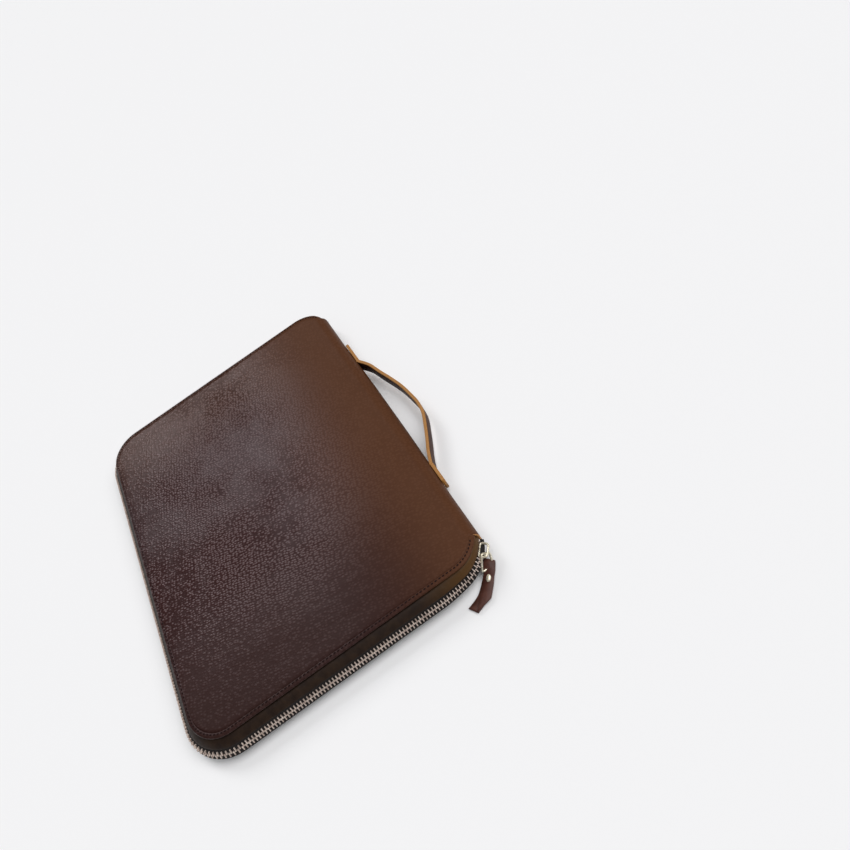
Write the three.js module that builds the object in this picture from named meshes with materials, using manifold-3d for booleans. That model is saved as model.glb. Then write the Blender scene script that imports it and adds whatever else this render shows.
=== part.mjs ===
// Leather document case with a zip round three sides and a strap handle on its spine.
// Millimetres, +Z up. The case lies on its back panel at Z = 0, X runs along the spine,
// Y points to the spine, and the zip's slider is at the +X +Y corner.

import * as THREE from 'three';
import { mergeVertices } from 'three/addons/utils/BufferGeometryUtils.js';
import Module from 'manifold-3d';

const wasm = await Module();
wasm.setup();

// Case body.
const panelLength = 350;
const panelDepth = 263;
const caseThickness = 26;
const panelWall = 2.2;
const panelCrown = 2;
const cornerRadius = 30;
const spineRadius = 10;
const spineSetback = 18;
const lipWidth = 5;
const lipThickness = 2.9;
const lipRounding = 1.1;

// Gusset and zip, measured outward from the lip.
const gussetInset = 1.5;
const gussetReach = 5.3;
const gussetThickness = 1.5;
const gussetEndShare = 0.35;
const gussetTaper = 55;
const tapeThickness = 0.8;
const tapeTuck = 5;
const tapePart = 1.5;
const chainWidth = 5.9;
const chainThickness = 2.4;
const stopLength = 2.2;

// Slider and pull.
const sliderRun = 8.5;
const sliderLength = 10.4;
const sliderNose = 8.8;
const sliderTail = 7.2;
const plateThickness = 1.2;
const backPlateDepth = 3;
const neckWidth = 2.2;
const neckLength = 3;
const bridgeSpan = 9.2;
const bridgeBar = 1.2;
const bridgeWidth = 2.4;
const ringWidth = 10;
const ringLength = 12;
const ringWire = 1.6;
const ringLean = 45;
const ringTurn = 30;
const ringDrop = -0.3;
const loopLength = 11.3;
const loopTop = 6.4;
const loopBottom = 12;
const loopWire = 1.2;
const pullWidth = 8.7;
const pullPly = 1.3;
const pullLength = 31;
const pullUnderLength = 28;
const pullCut = 5;
const pullHeading = -48;
const studDiameter = 4.8;
const studShank = 1.8;
const studRun = 10;

// Handle. Its free span lies a little off the case's middle, and its two tabs differ.
const handleSpan = 152;
const handleShift = -1;
const handleTabNear = 22;
const handleTabFar = 28;
const handleWidth = 13.5;
const handleThickness = 3;
const handleBevel = 0.6;
const handleStandOff = 22;

// Clearance between pieces, and the smallest angle step of a rounded corner.
const gap = 0.3;
const cornerSteps = 9;
const longStep = 24;
const closeSteps = 4;

const halfLength = panelLength / 2;
const halfDepth = panelDepth / 2;
const middle = caseThickness / 2;
const spineEnd = halfLength - spineSetback;
const spineStart = halfDepth - spineRadius;
const cornerX = halfLength - cornerRadius;
const cornerY = halfDepth - cornerRadius;
const gussetTop = caseThickness - lipThickness - gap;
const gussetEdge = middle + chainWidth / 2 + gap + gussetThickness * 0.8;

function material(color, roughness, metalness = 0) {
  return new THREE.MeshStandardMaterial({ color, roughness, metalness });
}

const leather = material(0x4b3530, 0.55);
const gussetLeather = material(0x35251a, 0.6);
const tapeCloth = material(0x1c1410, 0.9);
const handleLeather = material(0x553a2a, 0.55);
const zipMetal = material(0xa5917f, 0.35, 0.9);
const paleMetal = material(0xd7cdb9, 0.3, 0.95);

// Closed solid through equal rings of points. An open run gets a flat face at each end.
function loft(rings, closed = false) {
  const count = rings[0].length;
  const positions = rings.flat().flatMap((point) => [point.x, point.y, point.z]);
  const index = [];
  const last = closed ? rings.length : rings.length - 1;
  for (let row = 0; row < last; row++) {
    const next = (row + 1) % rings.length;
    for (let k = 0; k < count; k++) {
      const a = row * count + k;
      const b = row * count + (k + 1) % count;
      const c = next * count + (k + 1) % count;
      const d = next * count + k;
      index.push(a, b, c, a, c, d);
    }
  }
  if (!closed) {
    index.push(...capFace(rings[0], 0, true));
    index.push(...capFace(rings[rings.length - 1], (rings.length - 1) * count, false));
  }
  const geometry = new THREE.BufferGeometry();
  geometry.setAttribute('position', new THREE.Float32BufferAttribute(positions, 3));
  geometry.setIndex(index);
  return facingOut(geometry);
}

// Triangles over one flat ring, found in the ring's own plane.
function capFace(ring, offset, reversed) {
  const normal = new THREE.Vector3();
  ring.forEach((point, k) => normal.add(point.clone().cross(ring[(k + 1) % ring.length])));
  normal.normalize();
  const turn = new THREE.Quaternion().setFromUnitVectors(normal, new THREE.Vector3(0, 0, 1));
  const flat = ring.map((point) => {
    const turned = point.clone().applyQuaternion(turn);
    return new THREE.Vector2(turned.x, turned.y);
  });
  const faces = THREE.ShapeUtils.triangulateShape(flat, []);
  return faces.flatMap(([a, b, c]) => (reversed ? [offset + a, offset + c, offset + b]
    : [offset + a, offset + b, offset + c]));
}

function facingOut(geometry) {
  const position = geometry.getAttribute('position');
  const index = geometry.getIndex();
  const corner = [0, 1, 2].map(() => new THREE.Vector3());
  let volume = 0;
  for (let k = 0; k < index.count; k += 3) {
    corner.forEach((point, j) => point.fromBufferAttribute(position, index.getX(k + j)));
    volume += corner[0].dot(corner[1].clone().cross(corner[2]));
  }
  if (volume < 0) {
    for (let k = 0; k < index.count; k += 3) {
      const second = index.getX(k + 1);
      index.setX(k + 1, index.getX(k + 2));
      index.setX(k + 2, second);
    }
  }
  return geometry;
}

function toManifold(geometry) {
  const bare = geometry.clone();
  bare.deleteAttribute('normal');
  bare.deleteAttribute('uv');
  const merged = mergeVertices(bare, 1e-4);
  return new wasm.Manifold(new wasm.Mesh({
    numProp: 3,
    vertProperties: new Float32Array(merged.getAttribute('position').array),
    triVerts: new Uint32Array(merged.getIndex().array),
  }));
}

function toGeometry(solid) {
  const mesh = solid.getMesh();
  const geometry = new THREE.BufferGeometry();
  geometry.setAttribute('position', new THREE.BufferAttribute(mesh.vertProperties, 3));
  geometry.setIndex(new THREE.BufferAttribute(mesh.triVerts, 1));
  return geometry;
}

// The panels' outline from the spine's +X end, round the three open sides, to its -X end.
function rimPath(firstAngle, inset = 0) {
  const radius = cornerRadius - inset;
  const quarter = Math.PI / 2;
  const path = new THREE.Path();
  path.absarc(cornerX, cornerY, radius, firstAngle, 0, true);
  path.absarc(cornerX, -cornerY, radius, 0, -quarter, true);
  path.absarc(-cornerX, -cornerY, radius, -quarter, -2 * quarter, true);
  path.absarc(-cornerX, cornerY, radius, -2 * quarter, -2 * quarter - firstAngle, true);
  return path;
}

// Where one curve of the outline is cut: evenly in a corner, and closer near a corner
// along a straight, where the zip's lean still changes.
function sharesAlong(straight, length) {
  if (!straight) {
    return Array.from({ length: cornerSteps + 1 }, (_, k) => k / cornerSteps);
  }
  const steps = Math.ceil(length / longStep);
  const shares = Array.from({ length: steps - 1 }, (_, k) => (k + 1) / steps);
  const close = Array.from({ length: closeSteps }, (_, k) => (k + 1) * longStep / closeSteps / length);
  const ends = close.flatMap((share) => [share, 1 - share]);
  const middles = shares.filter((share) => Math.min(share, 1 - share) > longStep / length + 0.01);
  return [...ends, ...middles].sort((a, b) => a - b);
}

// Places along the outline, each with its outward normal and its run from the start.
function rimStations(path) {
  const stations = [];
  let run = 0;
  path.curves.forEach((curve) => {
    const length = curve.getLength();
    const straight = curve.isLineCurve === true;
    sharesAlong(straight, length).forEach((share) => {
      const point = curve.getPoint(share);
      const tangent = curve.getTangent(share);
      const normal = new THREE.Vector2(-tangent.y, tangent.x);
      stations.push({ point, normal, run: run + length * share });
    });
    run += length;
  });
  stations.forEach((station) => {
    station.toEnd = Math.min(station.run, run - station.run);
  });
  return stations;
}

// Near the spine the panels turn down over its rounding, and the rim goes with them.
function squeezed(y, z) {
  const over = Math.min(Math.max(y - spineStart, 0), spineRadius);
  const drop = spineRadius - Math.sqrt(spineRadius ** 2 - over ** 2);
  return middle + (z - middle) * (middle - drop) / middle;
}

function ringAt(station, section) {
  return section(station).map(([outward, z]) => {
    const x = station.point.x + station.normal.x * outward;
    const y = station.point.y + station.normal.y * outward;
    return new THREE.Vector3(x, y, squeezed(y, z));
  });
}

// The zip leans out from the lip along the sides and stands up again near the spine.
function leanAt(toEnd) {
  const share = THREE.MathUtils.smoothstep(toEnd, 0, gussetTaper);
  return gussetEndShare + (1 - gussetEndShare) * share;
}

// Unit vectors down the gusset's slope and into the case, for one place on the rim.
function gussetFrame(toEnd) {
  const edge = -gussetInset + (gussetReach + gussetInset) * leanAt(toEnd);
  const down = new THREE.Vector2(edge + gussetInset, gussetEdge - gussetTop).normalize();
  const inward = new THREE.Vector2(down.y, -down.x);
  const top = new THREE.Vector2(-gussetInset, gussetTop);
  return { top, edge: new THREE.Vector2(edge, gussetEdge), down, inward };
}

// How far outward from the lip the middle of the zip's teeth is.
function chainOffset(toEnd) {
  const { edge, down, inward } = gussetFrame(toEnd);
  const start = edge.clone().addScaledVector(inward, gussetThickness + gap + tapeThickness / 2);
  return start.x + down.x * (middle - start.y) / down.y;
}

function mirrored(section) {
  return (station) => section(station).map(([outward, z]) => [outward, caseThickness - z]);
}

function gussetSection(station) {
  const { top, edge, inward } = gussetFrame(station.toEnd);
  const low = edge.clone().addScaledVector(inward, gussetThickness);
  const high = top.clone().addScaledVector(inward, gussetThickness);
  return [[top.x, top.y], [edge.x, edge.y], [low.x, low.y], [high.x, high.y]];
}

// The tape's free edge stops short of the teeth, and its two halves part before the slider.
function tapeSection(station) {
  const { edge, down, inward } = gussetFrame(station.toEnd);
  const depth = gussetThickness + gap;
  const outer = edge.clone().addScaledVector(inward, depth);
  const inner = edge.clone().addScaledVector(inward, depth + tapeThickness);
  const parted = station.run < sliderRun + sliderLength / 2 ? tapePart : gap / 2;
  const clear = chainOffset(station.toEnd) - chainThickness / 2 - gap;
  const reach = (point) => Math.min((middle + parted - point.y) / down.y, (clear - point.x) / down.x);
  const outerEnd = outer.clone().addScaledVector(down, reach(outer));
  const innerEnd = inner.clone().addScaledVector(down, reach(inner));
  const outerTuck = outer.clone().addScaledVector(down, -tapeTuck);
  const innerTuck = inner.clone().addScaledVector(down, -tapeTuck);
  return [outerTuck, outerEnd, innerEnd, innerTuck].map((point) => [point.x, point.y]);
}

function chainSection(station) {
  const centre = chainOffset(station.toEnd);
  const half = chainThickness / 2;
  const tall = chainWidth / 2;
  return [[centre - half, middle + tall], [centre + half, middle + tall],
    [centre + half, middle - tall], [centre - half, middle - tall]];
}

// Turned edge of a panel, thicker than the wall and rounded on its outside.
function lipSection() {
  const top = caseThickness;
  const under = caseThickness - lipThickness;
  return [[-lipWidth, top], [-lipRounding, top], [-lipRounding * 0.3, top - lipRounding * 0.3],
    [0, top - lipRounding], [0, under + lipRounding], [-lipRounding, under], [-lipWidth, under]];
}

// One leather sheet wrapped round the spine, as rings across X.
function wrapRing(x) {
  const ring = [];
  const across = 8;
  const turns = 6;
  const crownMiddle = (spineStart - halfDepth) / 2;
  const crownHalf = (spineStart + halfDepth) / 2;
  const add = (y, z) => ring.push(new THREE.Vector3(x, y, z));
  const crownAt = (y) => panelCrown * (1 - (x / halfLength) ** 2) * (1 - ((y - crownMiddle) / crownHalf) ** 2);
  const acrossAt = (k) => -halfDepth + (spineStart + halfDepth) * k / across;
  const turn = (radius, from, to) => {
    for (let k = 1; k <= turns; k++) {
      const angle = THREE.MathUtils.degToRad(from + (to - from) * k / turns);
      const height = angle > 0 ? caseThickness - spineRadius : spineRadius;
      add(spineStart + radius * Math.cos(angle), height + radius * Math.sin(angle));
    }
  };
  for (let k = 0; k <= across; k++) {
    add(acrossAt(k), caseThickness + crownAt(acrossAt(k)));
  }
  turn(spineRadius, 90, 0.001);
  turn(spineRadius, -0.001, -90);
  add(-halfDepth, 0);
  add(-halfDepth, panelWall);
  add(spineStart, panelWall);
  turn(spineRadius - panelWall, -90, -0.001);
  turn(spineRadius - panelWall, 0.001, 90);
  for (let k = across - 1; k >= 0; k--) {
    add(acrossAt(k), caseThickness - panelWall + crownAt(acrossAt(k)));
  }
  return ring;
}

// Angle on the corner's arc where the outline, or something inside it, reaches a given X.
function angleAtX(x, inset = 0) {
  return Math.acos((x - cornerX) / (cornerRadius - inset));
}

function bodyGeometry() {
  const columns = 14;
  const rings = [];
  for (let k = 0; k <= columns; k++) {
    rings.push(wrapRing(-halfLength + panelLength * k / columns));
  }
  const sheet = toManifold(loft(rings));
  const outline = new THREE.Shape();
  const path = rimPath(angleAtX(spineEnd, lipRounding), lipRounding);
  path.getPoints(cornerSteps).forEach((point, k) => {
    if (k === 0) {
      outline.moveTo(point.x, point.y);
    } else {
      outline.lineTo(point.x, point.y);
    }
  });
  outline.lineTo(-spineEnd, halfDepth + lipWidth);
  outline.lineTo(spineEnd, halfDepth + lipWidth);
  const depth = caseThickness + 4 * panelCrown;
  const cutter = new THREE.ExtrudeGeometry(outline, { depth, bevelEnabled: false });
  cutter.translate(0, 0, -panelCrown);
  const stations = rimStations(rimPath(rimEnd));
  const lips = [lipSection, mirrored(lipSection)].map((section) => {
    return toManifold(loft(stations.map((station) => ringAt(station, section))));
  });
  return toGeometry(sheet.intersect(toManifold(cutter)).add(lips[0]).add(lips[1]));
}

// The gusset and the zip end just outside the cut end of the spine.
const stripDepth = gussetInset + gussetThickness + gap + tapeThickness + 1;
const rimEnd = angleAtX(spineEnd + gap, stripDepth);
const rim = rimStations(rimPath(rimEnd));

function stripGeometry(section, from = 0, to = Infinity) {
  const kept = rim.filter((station) => station.run >= from && station.run <= to);
  return loft(kept.map((station) => ringAt(station, section)));
}

// A place on the rim at an exact run, between two stations of the outline.
function stationAt(run) {
  const path = rimPath(rimEnd);
  const length = path.getLength();
  const share = run / length;
  const point = path.getPointAt(share);
  const tangent = path.getTangentAt(share);
  const normal = new THREE.Vector2(-tangent.y, tangent.x);
  return { point, normal, run, toEnd: Math.min(run, length - run) };
}

// Frame at a place on the zip: x towards its +X end, y up, z outward, origin in the teeth.
function zipFrame(run) {
  const station = stationAt(run);
  const centre = station.point.clone().addScaledVector(station.normal, chainOffset(station.toEnd));
  const outward = new THREE.Vector3(station.normal.x, station.normal.y, 0);
  const up = new THREE.Vector3(0, 0, 1);
  const along = up.clone().cross(outward);
  const frame = new THREE.Matrix4().makeBasis(along, up, outward);
  return frame.setPosition(centre.x, centre.y, middle);
}

function plateGeometry(noseHalf, tailHalf, from, thickness) {
  const half = sliderLength / 2;
  const chamfer = 1.2;
  const shape = new THREE.Shape();
  shape.moveTo(half, noseHalf - chamfer);
  shape.lineTo(half - chamfer, noseHalf);
  shape.lineTo(0, noseHalf);
  shape.lineTo(-half + chamfer, tailHalf);
  shape.lineTo(-half, tailHalf - chamfer);
  shape.lineTo(-half, -tailHalf + chamfer);
  shape.lineTo(-half + chamfer, -tailHalf);
  shape.lineTo(0, -noseHalf);
  shape.lineTo(half - chamfer, -noseHalf);
  shape.lineTo(half, -noseHalf + chamfer);
  const plate = new THREE.ExtrudeGeometry(shape, { depth: thickness, bevelEnabled: false });
  plate.translate(0, 0, from);
  return plate;
}

const frontPlate = chainThickness / 2 + gap;
const frontFace = frontPlate + plateThickness;
const bridgeHole = ringWire + 4 * gap;

function bridgeGeometry() {
  const half = bridgeSpan / 2;
  const inside = half - bridgeBar;
  const crest = frontFace + bridgeHole + bridgeBar;
  const shape = new THREE.Shape();
  shape.moveTo(-half, frontFace - 0.2);
  shape.lineTo(-half, crest - bridgeBar);
  shape.lineTo(-half + bridgeBar, crest);
  shape.lineTo(half - bridgeBar, crest);
  shape.lineTo(half, crest - bridgeBar);
  shape.lineTo(half, frontFace - 0.2);
  shape.lineTo(inside, frontFace - 0.2);
  shape.lineTo(inside, frontFace + bridgeHole);
  shape.lineTo(-inside, frontFace + bridgeHole);
  shape.lineTo(-inside, frontFace - 0.2);
  const bridge = new THREE.ExtrudeGeometry(shape, { depth: bridgeWidth, bevelEnabled: false });
  bridge.translate(0, 0, -bridgeWidth / 2);
  bridge.rotateX(Math.PI / 2);
  return bridge;
}

function sliderGeometry() {
  const front = toManifold(plateGeometry(sliderNose / 2, sliderTail / 2, frontPlate, plateThickness));
  const backFrom = -backPlateDepth - plateThickness;
  const back = toManifold(plateGeometry(sliderTail / 2, sliderTail / 2 - 0.4, backFrom, plateThickness));
  const neckDepth = backPlateDepth + frontPlate + plateThickness;
  const neck = new THREE.BoxGeometry(neckLength, neckWidth, neckDepth);
  neck.translate(sliderLength / 2 - neckLength, 0, (frontPlate + plateThickness / 2 - backPlateDepth) / 2);
  const bridge = toManifold(bridgeGeometry());
  return toGeometry(front.add(toManifold(neck)).add(back).add(bridge));
}

// Round wire along a closed run of points in one plane.
function wireGeometry(points, planeNormal, thickness) {
  const sides = 8;
  const rings = points.map((point, k) => {
    const before = points[(k + points.length - 1) % points.length];
    const after = points[(k + 1) % points.length];
    const tangent = after.clone().sub(before).normalize();
    const side = tangent.clone().cross(planeNormal).normalize();
    return Array.from({ length: sides }, (_, j) => {
      const angle = 2 * Math.PI * j / sides;
      return point.clone()
        .addScaledVector(side, Math.cos(angle) * thickness / 2)
        .addScaledVector(planeNormal, Math.sin(angle) * thickness / 2);
    });
  });
  return loft(rings, true);
}

// Closed run of points over four-cornered wire with bent corners.
function bentWire(corners, bend) {
  const points = [];
  const bendSteps = 4;
  corners.forEach((corner, k) => {
    const before = corners[(k + corners.length - 1) % corners.length];
    const after = corners[(k + 1) % corners.length];
    const start = corner.clone().addScaledVector(before.clone().sub(corner).normalize(), bend);
    const end = corner.clone().addScaledVector(after.clone().sub(corner).normalize(), bend);
    const curve = new THREE.QuadraticBezierCurve3(start, corner, end);
    points.push(...curve.getPoints(bendSteps));
  });
  return points;
}

// The ring hangs through the bridge, and the loop and the leather pull hang from the ring.
const sliderFrame = zipFrame(sliderRun);
const along = new THREE.Vector3();
const upward = new THREE.Vector3();
const outward = new THREE.Vector3();
sliderFrame.extractBasis(along, upward, outward);
const sliderPoint = new THREE.Vector3().setFromMatrixPosition(sliderFrame);
const leanAngle = THREE.MathUtils.degToRad(ringLean);
const turnAngle = THREE.MathUtils.degToRad(ringTurn);
const ringDown = along.clone().multiplyScalar(-Math.sin(leanAngle)).addScaledVector(upward, -Math.cos(leanAngle));
const flatNormal = ringDown.clone().cross(outward);
const ringNormal = flatNormal.clone().multiplyScalar(Math.cos(turnAngle)).addScaledVector(outward, Math.sin(turnAngle));
const ringAcross = ringNormal.clone().cross(ringDown);
const ringHalfWidth = (ringWidth - ringWire) / 2;
const ringHalfLength = (ringLength - ringWire) / 2;
const ringCentre = sliderPoint.clone()
  .addScaledVector(outward, frontFace + bridgeHole / 2)
  .addScaledVector(ringAcross, ringHalfWidth)
  .addScaledVector(ringDown, ringDrop);

function ringGeometry() {
  const steps = 32;
  const roundness = 2 / 3.2;
  const points = Array.from({ length: steps }, (_, k) => {
    const angle = 2 * Math.PI * k / steps;
    const across = Math.sign(Math.cos(angle)) * Math.abs(Math.cos(angle)) ** roundness;
    const down = Math.sign(Math.sin(angle)) * Math.abs(Math.sin(angle)) ** roundness;
    return ringCentre.clone()
      .addScaledVector(ringAcross, across * ringHalfWidth)
      .addScaledVector(ringDown, down * ringHalfLength);
  });
  return wireGeometry(points, ringNormal, ringWire);
}

const heading = THREE.MathUtils.degToRad(pullHeading);
const pullForward = new THREE.Vector3(Math.cos(heading), Math.sin(heading), 0);
const pullAcross = new THREE.Vector3(-Math.sin(heading), Math.cos(heading), 0);
const loopTopPoint = ringCentre.clone()
  .addScaledVector(ringDown, ringHalfLength - ringWire / 2 - loopWire / 2 - gap);
const foldRadius = loopWire / 2 + gap;
const barHeight = foldRadius + pullPly + 2 * gap + pullPly;
const loopFall = loopTopPoint.z - barHeight;
const loopPlan = Math.sqrt(loopLength ** 2 - loopFall ** 2);
const loopDown = pullForward.clone().multiplyScalar(loopPlan / loopLength);
loopDown.z = -loopFall / loopLength;
const barPoint = loopTopPoint.clone().addScaledVector(loopDown, loopLength);

function loopGeometry() {
  const corners = [
    loopTopPoint.clone().addScaledVector(pullAcross, loopTop / 2),
    loopTopPoint.clone().addScaledVector(pullAcross, -loopTop / 2),
    barPoint.clone().addScaledVector(pullAcross, -loopBottom / 2),
    barPoint.clone().addScaledVector(pullAcross, loopBottom / 2),
  ];
  return wireGeometry(bentWire(corners, 1.2), loopDown.clone().cross(pullAcross).normalize(), loopWire);
}

// Middle line of the folded strap: under ply, round the bar, then upper ply.
// Each point is a distance from the bar and a height above the floor.
function foldLine() {
  const radius = foldRadius + pullPly / 2;
  const lowRest = gap + pullPly / 2;
  const highRest = lowRest + pullPly + gap;
  const restRun = 12;
  const settle = (run, from, to) => from + (to - from) * THREE.MathUtils.smoothstep(run, 0, restRun);
  const line = [];
  const runs = [pullUnderLength, restRun, 9, 6, 3];
  runs.forEach((run) => line.push([run, settle(run, barPoint.z - radius, lowRest)]));
  for (let k = 0; k <= 6; k++) {
    const angle = -Math.PI / 2 - Math.PI * k / 6;
    line.push([radius * Math.cos(angle), barPoint.z + radius * Math.sin(angle)]);
  }
  runs.reverse().forEach((run) => {
    const upper = run === pullUnderLength ? pullLength : run;
    line.push([upper, settle(run, barPoint.z + radius, highRest)]);
  });
  return line;
}

function strapPoint(run, height, across) {
  const point = barPoint.clone().addScaledVector(pullForward, run).addScaledVector(pullAcross, across);
  point.z = height;
  return point;
}

// Both tails are cut on a slant, so one edge of the strap is longer than the other.
function pullGeometry() {
  const line = foldLine();
  const rings = line.map(([run, height], k) => {
    const before = line[Math.max(k - 1, 0)];
    const after = line[Math.min(k + 1, line.length - 1)];
    const along = new THREE.Vector2(after[0] - before[0], after[1] - before[1]).normalize();
    const half = pullPly / 2;
    const slant = k === 0 || k === line.length - 1 ? pullCut / 2 : 0;
    return [[1, 1], [1, -1], [-1, -1], [-1, 1]].map(([side, face]) => {
      const r = run - along.y * face * half - slant * side;
      return strapPoint(r, height + along.x * face * half, side * pullWidth / 2);
    });
  });
  return loft(rings);
}

// Local frame of the strap's upper ply at the stud: z out of the leather.
function studFrame() {
  const line = foldLine();
  const upper = line.slice(line.length - 5);
  const after = upper.findIndex(([run]) => run > studRun);
  const [r0, z0] = upper[after - 1];
  const [r1, z1] = upper[after];
  const share = (studRun - r0) / (r1 - r0);
  const slope = new THREE.Vector2(r1 - r0, z1 - z0).normalize();
  const forward = pullForward.clone().multiplyScalar(slope.x).setZ(slope.y);
  const normal = forward.clone().cross(pullAcross);
  const frame = new THREE.Matrix4().makeBasis(forward, pullAcross, normal);
  return frame.setPosition(strapPoint(studRun, z0 + (z1 - z0) * share, 0));
}

function studGeometry() {
  const radius = studDiameter / 2;
  const seat = pullPly / 2 + gap;
  const depth = barPoint.z;
  const shank = studShank / 2;
  const profile = [
    new THREE.Vector2(0, -depth / 2),
    new THREE.Vector2(shank, -depth / 2),
    new THREE.Vector2(shank, seat),
    new THREE.Vector2(radius, seat),
    new THREE.Vector2(radius, seat + 0.4),
    new THREE.Vector2(radius * 0.8, seat + 0.9),
    new THREE.Vector2(radius * 0.45, seat + 1.2),
    new THREE.Vector2(0, seat + 1.3),
  ];
  const stud = new THREE.LatheGeometry(profile, 16);
  stud.rotateX(Math.PI / 2);
  return stud;
}

// The handle leaves its two flat tabs and bows away from the spine. Shares of half its free
// span along the spine, and of its stand-off.
const handleBow = [
  [-1, 0], [-0.9, 0.19], [-0.8, 0.34], [-0.62, 0.5], [-0.42, 0.7], [-0.2, 0.88], [0.04, 0.98],
  [0.17, 1], [0.33, 0.93], [0.52, 0.68], [0.69, 0.43], [0.85, 0.18], [1, 0],
];

function handleStations() {
  const seat = halfDepth + gap + handleThickness / 2;
  const bend = handleSpan / 2;
  const bowPoints = handleBow.map(([along, out]) => {
    return new THREE.Vector3(handleShift + along * bend, seat + out * handleStandOff, 0);
  });
  const tab = [0.97, 0.66, 0.33, 0.08];
  const left = tab.map((share) => new THREE.Vector3(handleShift - bend - handleTabFar * share, seat, 0));
  const right = tab.map((share) => new THREE.Vector3(handleShift + bend + handleTabNear * share, seat, 0));
  const curve = new THREE.CatmullRomCurve3([...left, ...bowPoints, ...right.reverse()], false, 'centripetal');
  const steps = 60;
  return Array.from({ length: steps + 1 }, (_, k) => {
    const point = curve.getPointAt(k / steps);
    const tangent = curve.getTangentAt(k / steps);
    return { point, normal: new THREE.Vector2(-tangent.y, tangent.x) };
  });
}

function handleGeometry() {
  const half = handleThickness / 2;
  const tall = handleWidth / 2;
  const bevel = handleBevel;
  const section = [[-half, tall - bevel], [-half + bevel, tall], [half - bevel, tall], [half, tall - bevel],
    [half, -tall + bevel], [half - bevel, -tall], [-half + bevel, -tall], [-half, -tall + bevel]];
  return loft(handleStations().map(({ point, normal }) => section.map(([out, up]) => {
    return new THREE.Vector3(point.x + normal.x * out, point.y + normal.y * out, middle + up);
  })));
}

function stopGeometry() {
  return new THREE.BoxGeometry(stopLength, chainWidth - 1, chainThickness);
}

const documentCase = new THREE.Group();

function addPiece(name, geometry, look, frame = null) {
  const mesh = new THREE.Mesh(geometry, look);
  mesh.name = name;
  if (frame) {
    mesh.applyMatrix4(frame);
  }
  documentCase.add(mesh);
  return mesh;
}

const zipLength = rim[rim.length - 1].run;
const chainStart = sliderRun + sliderLength / 2 + gap;
const chainEnd = zipLength - stopLength - 2 * gap;

addPiece('case_body', bodyGeometry(), leather);
addPiece('gusset_upper', stripGeometry(gussetSection), gussetLeather);
addPiece('gusset_lower', stripGeometry(mirrored(gussetSection)), gussetLeather);
addPiece('zip_tape_upper', stripGeometry(tapeSection), tapeCloth);
addPiece('zip_tape_lower', stripGeometry(mirrored(tapeSection)), tapeCloth);
addPiece('zip_chain', stripGeometry(chainSection, chainStart, chainEnd), zipMetal);
addPiece('zip_stop_near', stopGeometry(), zipMetal, zipFrame(stopLength / 2));
addPiece('zip_stop_far', stopGeometry(), zipMetal, zipFrame(zipLength - stopLength / 2));
addPiece('zip_slider', sliderGeometry(), paleMetal, sliderFrame);
addPiece('pull_ring', ringGeometry(), paleMetal);
addPiece('pull_loop', loopGeometry(), paleMetal);

const stud = studFrame();
const shankHole = new THREE.CylinderGeometry(studShank / 2 + gap, studShank / 2 + gap, 4 * barPoint.z, 16);
shankHole.rotateX(Math.PI / 2).applyMatrix4(stud);
addPiece('pull_strap', toGeometry(toManifold(pullGeometry()).subtract(toManifold(shankHole))), handleLeather);
addPiece('pull_stud', studGeometry(), paleMetal, stud);
addPiece('handle', handleGeometry(), handleLeather);

export default documentCase;
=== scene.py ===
import math

import bmesh
import bpy
from mathutils import Matrix, Vector, noise


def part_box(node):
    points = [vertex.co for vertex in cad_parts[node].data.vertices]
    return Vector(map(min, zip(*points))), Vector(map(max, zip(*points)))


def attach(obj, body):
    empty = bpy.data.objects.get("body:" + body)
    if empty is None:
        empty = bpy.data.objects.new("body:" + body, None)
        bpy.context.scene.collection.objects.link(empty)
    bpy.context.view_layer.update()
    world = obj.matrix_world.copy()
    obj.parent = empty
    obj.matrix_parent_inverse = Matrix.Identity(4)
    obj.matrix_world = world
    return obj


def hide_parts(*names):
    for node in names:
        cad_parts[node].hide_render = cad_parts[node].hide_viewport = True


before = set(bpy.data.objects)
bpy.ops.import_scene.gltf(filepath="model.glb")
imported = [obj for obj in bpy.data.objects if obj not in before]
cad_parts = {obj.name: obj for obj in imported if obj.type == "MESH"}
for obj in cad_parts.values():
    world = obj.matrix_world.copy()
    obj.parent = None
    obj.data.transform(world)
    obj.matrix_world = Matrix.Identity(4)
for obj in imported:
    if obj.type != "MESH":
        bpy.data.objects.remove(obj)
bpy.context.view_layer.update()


# Body: one sheet of pebbled cowhide, wrapped round the spine as front panel, spine and
# back panel. It is 2.2 mm thick, lies a little crowned and creased over what it holds,
# and its cut ends at the spine show the raw tan leather.
body_low, body_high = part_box("case_body")
half_length = body_high[0]
half_depth = body_high[1]
thick = 0.026
middle = thick / 2
corner_radius = 0.030
corner_x = half_length - corner_radius
corner_y = half_depth - corner_radius
spine_radius = 0.010
spine_start = half_depth - spine_radius
spine_end = half_length - 0.018
sheet_thickness = 0.0022
sheet_inset = 0.0042
panel_crown = 0.002
spine_bulge = 0.0012
edge_band = 0.004
top_edge_drop = 0.00015
bottom_edge_lift = 0.0003


def smooth_step(value, low, high):
    share = min(max((value - low) / (high - low), 0.0), 1.0)
    return share * share * (3 - 2 * share)


def finish_piece(name, bm, materials, smooth=True):
    mesh = bpy.data.meshes.new(name)
    bm.to_mesh(mesh)
    bm.free()
    if smooth:
        mesh.shade_smooth()
    piece = bpy.data.objects.new(name, mesh)
    bpy.context.collection.objects.link(piece)
    for material in materials:
        mesh.materials.append(material)
    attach(piece, "root")
    return piece


def new_material(name):
    material = bpy.data.materials.new(name)
    material.use_nodes = True
    nodes = material.node_tree.nodes
    return material, nodes, material.node_tree.links, nodes["Principled BSDF"]


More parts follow.
